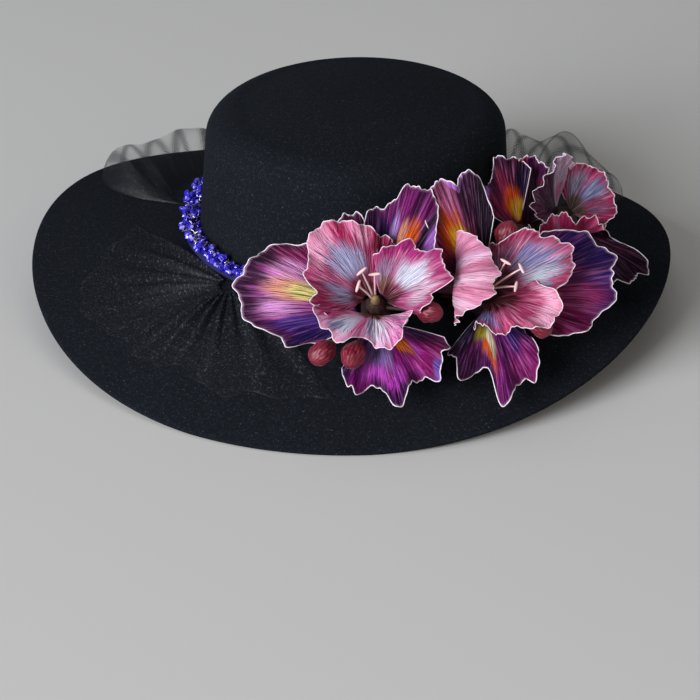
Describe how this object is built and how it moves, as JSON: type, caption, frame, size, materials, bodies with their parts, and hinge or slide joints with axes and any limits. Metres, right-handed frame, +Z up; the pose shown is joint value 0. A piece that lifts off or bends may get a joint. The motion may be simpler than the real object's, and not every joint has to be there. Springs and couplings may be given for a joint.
{
  "type": "bridal hat",
  "caption": "Wide-brimmed felt hat with a flat-topped crown and a drooping saddle-shaped brim, trimmed with ruffled blossoms, a cut bead vine, and a drape and bow of tulle.",
  "frame": {"origin": "bottom centre of the whole hat's box, on the surface that the hat rests on", "axes": "+Z up, -Y towards the hat's front, +X towards the side with the blossoms"},
  "size_m": [0.3618, 0.3722, 0.1187],
  "materials": {
    "felt": "matte black wool felt",
    "beads": "sapphire cut glass on wire",
    "pink_petals": "printed petal cloth, pink with pale veins",
    "purple_petals": "printed petal cloth, purple with a yellow throat",
    "calyx": "wrapped stem",
    "buds": "crimson bud cloth",
    "stamens": "stiffened thread",
    "tulle": "sheer black tulle"
  },
  "bodies": {
    "root": {"felt_body": "felt", "bead_vine": "beads", "calyx_left": "calyx", "calyx_middle": "calyx", "calyx_right": "calyx", "calyx_back": "calyx", "veil_drape": "tulle", "bow_knot": "tulle", "bow_left": "tulle", "bow_right": "tulle", "pink_left_1": "pink_petals", "pink_left_2": "pink_petals", "pink_left_3": "pink_petals", "purple_left_1": "purple_petals", "purple_left_2": "purple_petals", "purple_left_3": "purple_petals", "purple_left_4": "purple_petals", "pink_middle_1": "pink_petals", "pink_middle_2": "pink_petals", "pink_middle_3": "pink_petals", "purple_middle_1": "purple_petals", "purple_middle_2": "purple_petals", "purple_middle_3": "purple_petals", "pink_right_1": "pink_petals", "pink_right_2": "pink_petals", "pink_right_3": "pink_petals", "purple_right": "purple_petals", "purple_back_1": "purple_petals", "purple_back_2": "purple_petals", "bud_left_1": "buds", "bud_left_2": "buds", "bud_left_3": "buds", "bud_middle_1": "buds", "bud_middle_2": "buds", "stamens_left": "stamens", "stamens_middle": "stamens"}
  },
  "joints": []
}
